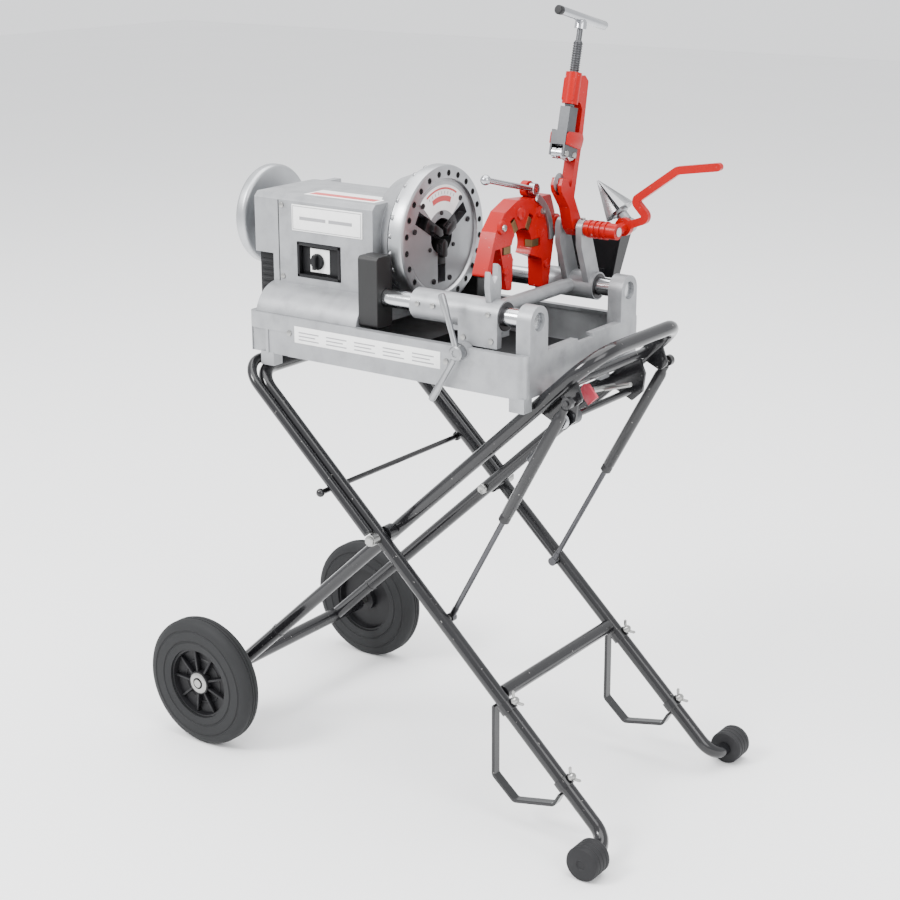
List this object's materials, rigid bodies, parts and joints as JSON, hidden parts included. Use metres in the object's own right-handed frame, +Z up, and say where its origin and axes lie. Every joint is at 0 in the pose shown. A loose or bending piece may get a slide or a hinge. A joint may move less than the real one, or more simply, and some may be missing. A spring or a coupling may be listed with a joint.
{
  "type": "pipe threading machine",
  "caption": "Bench-height electric pipe threader with hammer chuck, sliding carriage, swing-over die head, cutter and reamer, on a wheeled scissor stand that folds.",
  "frame": {"origin": "on the floor, under the middle of the bounding box", "axes": "+X along the spindle from the wheels to the feet, -Y the operator side with the switch and lever, +Z up"},
  "size_m": [1.0272, 0.57, 1.4045],
  "materials": {
    "black_enamel": "gloss",
    "zinc_steel": "bright zinc",
    "foot_rubber": "matt",
    "tyre_rubber": "matt",
    "black_plastic": "satin",
    "cast_grey": "satin",
    "machined_steel": "machined",
    "black_steel": "black oxide",
    "motor_grey": "satin",
    "red_enamel": "gloss",
    "tool_brass": "oiled",
    "chrome_steel": "polished"
  },
  "bodies": {
    "leg_frame": {"leg_frame_tube": "black_enamel", "cradle_tube": "black_enamel", "lower_crossbar": "black_enamel", "tie_rod": "zinc_steel", "feet": "foot_rubber", "stirrups": "black_enamel", "stand_fasteners": "zinc_steel"},
    "handle_frame": {"handle_frame_tube": "black_enamel", "wheel_axle": "zinc_steel", "latch_bar": "black_enamel"},
    "wheel_front": {"wheel_rim_front": "black_plastic", "tyre_front": "tyre_rubber"},
    "wheel_rear": {"wheel_rim_rear": "black_plastic", "tyre_rear": "tyre_rubber"},
    "latch": {"latch_lever": "black_enamel"},
    "strut_cylinder_front": {"strut_cylinder_front": "black_enamel"},
    "strut_cylinder_rear": {"strut_cylinder_rear": "black_enamel"},
    "strut_rod_front": {"strut_rod_front": "zinc_steel"},
    "strut_rod_rear": {"strut_rod_rear": "zinc_steel"},
    "machine": {"base_casting": "cast_grey", "headstock_housing": "cast_grey", "motor_panel": "black_enamel", "switch_plate": "black_enamel", "drive_motor": "motor_grey", "spindle_bearings": "zinc_steel", "rail_clamps": "black_enamel", "guide_rails": "machined_steel"},
    "switch": {"switch_knob": "black_plastic"},
    "spindle": {"spindle_tube": "machined_steel", "spindle_gear": "zinc_steel", "chuck_body": "machined_steel"},
    "pinion": {"motor_pinion": "zinc_steel"},
    "chuck_wheel": {"chuck_handwheel": "machined_steel"},
    "rear_wheel": {"rear_handwheel": "machined_steel"},
    "carriage": {"carriage_front": "cast_grey", "carriage_rear": "cast_grey", "tool_hinge_bar": "machined_steel", "rear_tray": "black_plastic"},
    "carriage_lever": {"carriage_lever": "cast_grey"},
    "die_head": {"die_head_body": "red_enamel", "die_cam_plate": "machined_steel"},
    "die_lever": {"die_throw_lever": "machined_steel"},
    "cutter": {"cutter_frame": "red_enamel"},
    "cutter_slide": {"cutter_slide": "machined_steel"},
    "feed_screw": {"cutter_feed_screw": "chrome_steel"},
    "cutter_wheel": {"cutter_wheel": "chrome_steel"},
    "cutter_roller_1": {"cutter_roller_1": "chrome_steel"},
    "cutter_roller_2": {"cutter_roller_2": "chrome_steel"},
    "reamer_arm": {"reamer_arm": "red_enamel"},
    "reamer_head": {"reamer_head": "machined_steel"},
    "chuck_jaw_1": {"chuck_jaw_1": "black_steel"},
    "rear_jaw_1": {"rear_jaw_1": "black_steel"},
    "chuck_jaw_2": {"chuck_jaw_2": "black_steel"},
    "rear_jaw_2": {"rear_jaw_2": "black_steel"},
    "chuck_jaw_3": {"chuck_jaw_3": "black_steel"},
    "rear_jaw_3": {"rear_jaw_3": "black_steel"},
    "chaser_1": {"die_chaser_1": "tool_brass"},
    "chaser_2": {"die_chaser_2": "tool_brass"},
    "chaser_3": {"die_chaser_3": "tool_brass"},
    "chaser_4": {"die_chaser_4": "tool_brass"}
  },
  "joints": [
    {"name": "fold", "type": "hinge", "parent": "leg_frame", "child": "handle_frame", "pos_m": [-0.00329, 0, 0.48572], "axis": [0, 1, 0], "range_deg": [0, 67]},
    {"name": "machine_level", "type": "hinge", "parent": "leg_frame", "child": "machine", "pos_m": [-0.28441, 0, 0.74878], "axis": [0, 1, 0], "range_deg": [0, 34]},
    {"name": "wheel_spin_front", "type": "hinge", "parent": "handle_frame", "child": "wheel_front", "pos_m": [-0.38663, -0.259, 0.127], "axis": [0, 1, 0], "continuous": true},
    {"name": "strut_swing_front", "type": "hinge", "parent": "handle_frame", "child": "strut_cylinder_front", "pos_m": [0.36832, -0.1695, 0.78964], "axis": [0, 1, 0], "range_deg": [0, 13.24]},
    {"name": "strut_stroke_front", "type": "slide", "parent": "strut_cylinder_front", "child": "strut_rod_front", "axis": [-0.473, 0, -0.881], "range_m": [-0.195, 0]},
    {"name": "wheel_spin_rear", "type": "hinge", "parent": "handle_frame", "child": "wheel_rear", "pos_m": [-0.38663, 0.259, 0.127], "axis": [0, 1, 0], "continuous": true},
    {"name": "strut_swing_rear", "type": "hinge", "parent": "handle_frame", "child": "strut_cylinder_rear", "pos_m": [0.36832, 0.1695, 0.78964], "axis": [0, 1, 0], "range_deg": [0, 13.24]},
    {"name": "strut_stroke_rear", "type": "slide", "parent": "strut_cylinder_rear", "child": "strut_rod_rear", "axis": [-0.473, 0, -0.881], "range_m": [-0.195, 0]},
    {"name": "latch_swing", "type": "hinge", "parent": "handle_frame", "child": "latch", "pos_m": [0.33572, -0.102, 0.74544], "axis": [0, 1, 0], "range_deg": [-30, 20]},
    {"name": "switch_turn", "type": "hinge", "parent": "machine", "child": "switch", "pos_m": [-0.19, -0.13, 0.95], "axis": [0, 1, 0], "range_deg": [-45, 45]},
    {"name": "spindle_spin", "type": "hinge", "parent": "machine", "child": "spindle", "pos_m": [-0.2, 0, 0.998], "axis": [1, 0, 0], "continuous": true},
    {"name": "pinion_spin", "type": "hinge", "parent": "machine", "child": "pinion", "pos_m": [-0.1, -0.038, 0.90464], "axis": [1, 0, 0], "continuous": true},
    {"name": "chuck_wheel_turn", "type": "hinge", "parent": "spindle", "child": "chuck_wheel", "pos_m": [-0.018, 0, 0.998], "axis": [1, 0, 0], "range_deg": [0, 160]},
    {"name": "rear_wheel_turn", "type": "hinge", "parent": "spindle", "child": "rear_wheel", "pos_m": [-0.403, 0, 0.998], "axis": [1, 0, 0], "range_deg": [0, 160]},
    {"name": "chuck_jaw_1_slide", "type": "slide", "parent": "spindle", "child": "chuck_jaw_1", "axis": [0, 0, -1], "range_m": [0, 0.0281]},
    {"name": "rear_jaw_1_slide", "type": "slide", "parent": "rear_wheel", "child": "rear_jaw_1", "axis": [0, 0, -1], "range_m": [0, 0.0281]},
    {"name": "chuck_jaw_2_slide", "type": "slide", "parent": "spindle", "child": "chuck_jaw_2", "axis": [0, 0.866, 0.5], "range_m": [0, 0.0281]},
    {"name": "rear_jaw_2_slide", "type": "slide", "parent": "rear_wheel", "child": "rear_jaw_2", "axis": [0, 0.866, 0.5], "range_m": [0, 0.0281]},
    {"name": "chuck_jaw_3_slide", "type": "slide", "parent": "spindle", "child": "chuck_jaw_3", "axis": [0, -0.866, 0.5], "range_m": [0, 0.0281]},
    {"name": "rear_jaw_3_slide", "type": "slide", "parent": "rear_wheel", "child": "rear_jaw_3", "axis": [0, -0.866, 0.5], "range_m": [0, 0.0281]},
    {"name": "carriage_lever_turn", "type": "hinge", "parent": "machine", "child": "carriage_lever", "pos_m": [0.171, -0.203, 0.851], "axis": [0, 1, 0], "range_deg": [-125.5, 74.5]},
    {"name": "carriage_slide", "type": "slide", "parent": "machine", "child": "carriage", "axis": [1, 0, 0], "range_m": [-0.056, 0.033]},
    {"name": "die_head_swing", "type": "hinge", "parent": "carriage", "child": "die_head", "pos_m": [0.149, 0.11, 1.02], "axis": [1, 0, 0], "range_deg": [-100, 0]},
    {"name": "die_throw", "type": "hinge", "parent": "die_head", "child": "die_lever", "pos_m": [0.1555, 0.05, 1.09], "axis": [1, 0, 0], "range_deg": [-35, 0]},
    {"name": "chaser_1_slide", "type": "slide", "parent": "die_head", "child": "chaser_1", "axis": [0, 1, 0], "range_m": [0, 0.00405]},
    {"name": "chaser_2_slide", "type": "slide", "parent": "die_head", "child": "chaser_2", "axis": [0, 0.5, 0.866], "range_m": [0, 0.00405]},
    {"name": "chaser_3_slide", "type": "slide", "parent": "die_head", "child": "chaser_3", "axis": [0, -0.5, 0.866], "range_m": [0, 0.00405]},
    {"name": "chaser_4_slide", "type": "slide", "parent": "die_head", "child": "chaser_4", "axis": [0, -1, 0], "range_m": [0, 0.00405]},
    {"name": "cutter_swing", "type": "hinge", "parent": "carriage", "child": "cutter", "pos_m": [0.199, 0.11, 1.02], "axis": [1, 0, 0], "range_deg": [0, 78.5]},
    {"name": "cutter_feed", "type": "slide", "parent": "cutter", "child": "cutter_slide", "axis": [0, 0.2277, 0.9737], "range_m": [-0.024, 0]},
    {"name": "feed_screw_turn", "type": "hinge", "parent": "cutter_slide", "child": "feed_screw", "pos_m": [0.199, 0.11204, 1.31815], "axis": [0, 0.2277, 0.9737], "range_deg": [0, 2160]},
    {"name": "cutter_wheel_spin", "type": "hinge", "parent": "cutter", "child": "cutter_wheel", "pos_m": [0.199, 0.06195, 1.10393], "axis": [1, 0, 0], "continuous": true},
    {"name": "cutter_roller_1_spin", "type": "hinge", "parent": "cutter_slide", "child": "cutter_roller_1", "pos_m": [0.199, 0.06067, 1.15557], "axis": [1, 0, 0], "continuous": true},
    {"name": "cutter_roller_2_spin", "type": "hinge", "parent": "cutter_slide", "child": "cutter_roller_2", "pos_m": [0.199, 0.08599, 1.14965], "axis": [1, 0, 0], "continuous": true},
    {"name": "reamer_swing", "type": "hinge", "parent": "carriage", "child": "reamer_arm", "pos_m": [0.26, 0.11, 1.02], "axis": [1, 0, 0], "range_deg": [0, 140]},
    {"name": "reamer_tilt", "type": "hinge", "parent": "reamer_arm", "child": "reamer_head", "pos_m": [0.282, 0.166, 1.023], "axis": [0, 1, 0], "range_deg": [-36, 0]}
  ],
  "couplings": [
    {"joint": "chuck_jaw_1_slide", "follows": "chuck_wheel_turn", "m_per_rad": 0.010027},
    {"joint": "rear_jaw_1_slide", "follows": "rear_wheel_turn", "m_per_rad": 0.010027},
    {"joint": "chuck_jaw_2_slide", "follows": "chuck_wheel_turn", "m_per_rad": 0.010027},
    {"joint": "rear_jaw_2_slide", "follows": "rear_wheel_turn", "m_per_rad": 0.010027},
    {"joint": "chuck_jaw_3_slide", "follows": "chuck_wheel_turn", "m_per_rad": 0.010027},
    {"joint": "rear_jaw_3_slide", "follows": "rear_wheel_turn", "m_per_rad": 0.010027},
    {"joint": "carriage_lever_turn", "follows": "carriage_slide", "rad_per_m": 38.91},
    {"joint": "chaser_1_slide", "follows": "die_throw", "m_per_rad": -0.006548},
    {"joint": "chaser_2_slide", "follows": "die_throw", "m_per_rad": -0.006548},
    {"joint": "chaser_3_slide", "follows": "die_throw", "m_per_rad": -0.006548},
    {"joint": "chaser_4_slide", "follows": "die_throw", "m_per_rad": -0.006548},
    {"joint": "cutter_feed", "follows": "feed_screw_turn", "m_per_rad": -0.0006366},
    {"joint": "pinion_spin", "follows": "spindle_spin", "ratio": -6},
    {"joint": "machine_level", "follows": "fold", "ratio": 0.5},
    {"joint": "strut_swing_front", "follows": "fold", "ratio": 0.19191},
    {"joint": "strut_stroke_front", "follows": "fold", "m_per_rad": -0.1635},
    {"joint": "strut_swing_rear", "follows": "fold", "ratio": 0.19191},
    {"joint": "strut_stroke_rear", "follows": "fold", "m_per_rad": -0.1635}
  ]
}
